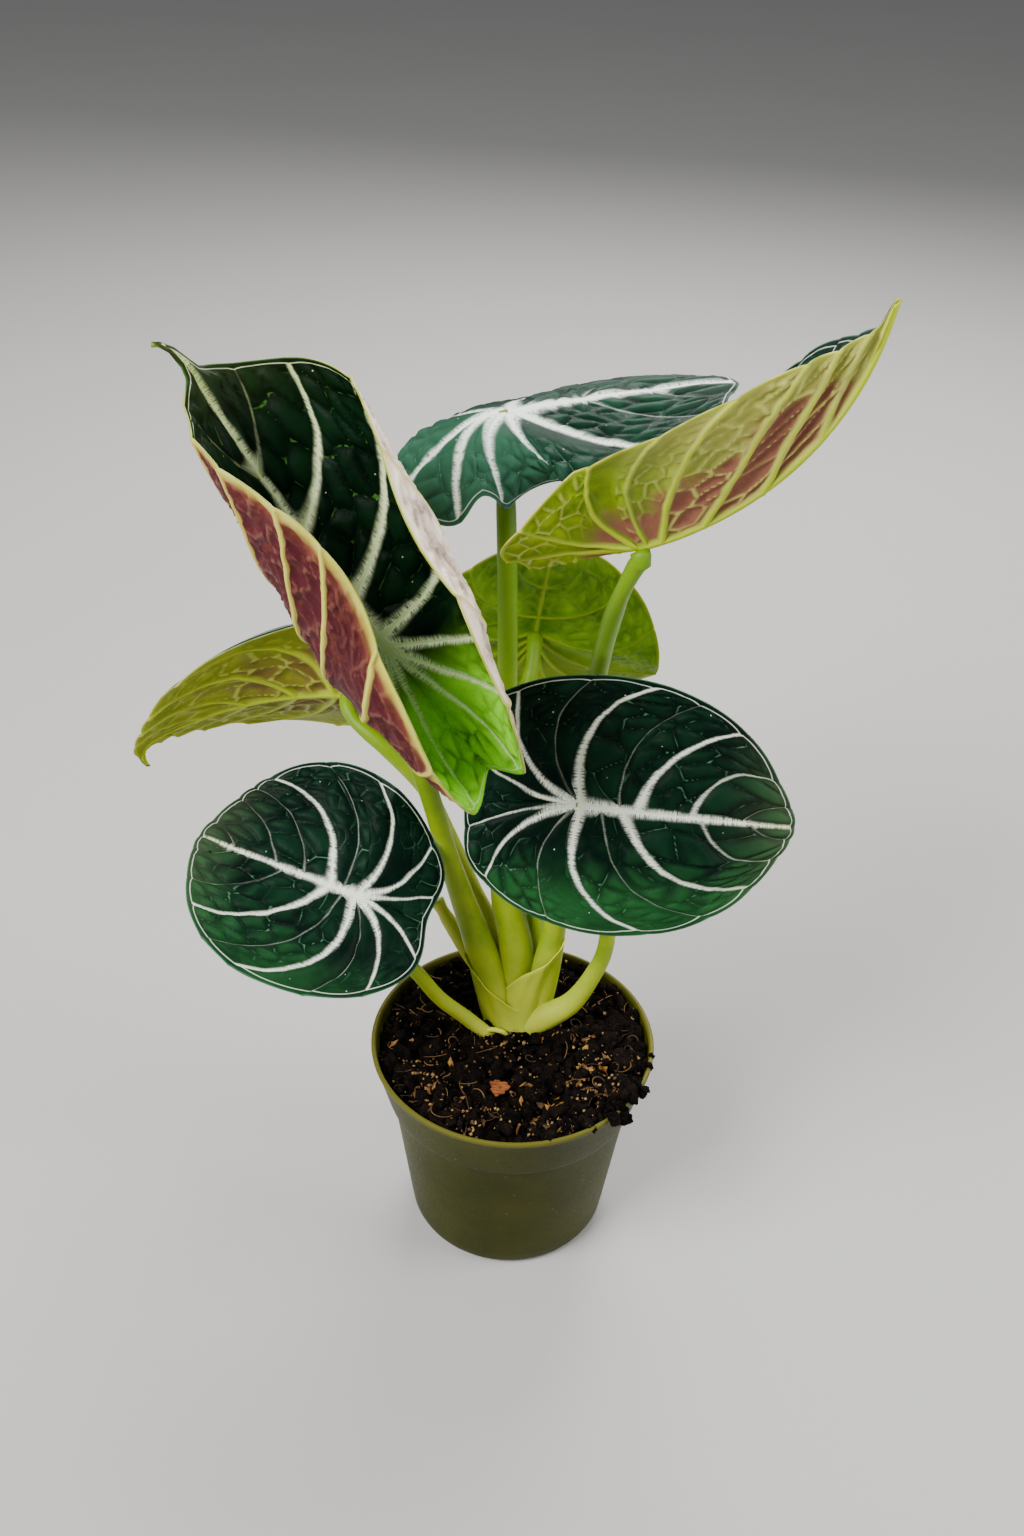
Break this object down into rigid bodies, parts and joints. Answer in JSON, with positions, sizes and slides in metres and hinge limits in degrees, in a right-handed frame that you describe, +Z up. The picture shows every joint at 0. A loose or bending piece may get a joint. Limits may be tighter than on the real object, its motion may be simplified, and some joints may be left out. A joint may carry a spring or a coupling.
{
  "type": "potted house plant",
  "caption": "Young aroid house plant with stiff shield shaped leaves on upright petioles, growing in a round plastic nursery pot of soil.",
  "frame": {"origin": "middle of the pot's flat bottom, on the surface that the pot stands on", "axes": "+Z up, the front of the pot faces -Y, +X to the right seen from the front"},
  "size_m": [0.2425, 0.2042, 0.3782],
  "materials": {
    "pot_plastic": "semi matte olive green moulded plastic",
    "potting_soil": "damp dark peat with perlite crumbs and root fibres",
    "bark": "dry orange brown bark",
    "petiole_green": "waxy yellow green stem skin, paler at the foot",
    "leaf_variegated": "satin leaf, green with cream veins inside, maroon and cream yellow outside",
    "leaf_dark": "satin leaf, very dark green with pale veins",
    "leaf_pale": "satin leaf underside, yellow green with raised ribs"
  },
  "bodies": {
    "root": {"pot": "pot_plastic", "soil": "potting_soil", "bark_chip": "bark", "crown_and_petioles": "petiole_green", "petiole_of_round_leaf": "petiole_green", "leaf_trough": "leaf_variegated", "leaf_round": "leaf_dark", "leaf_oval": "leaf_dark", "leaf_canoe": "leaf_pale", "leaf_saddle": "leaf_dark", "leaf_back": "leaf_pale", "leaf_drooping": "leaf_pale"}
  },
  "joints": []
}
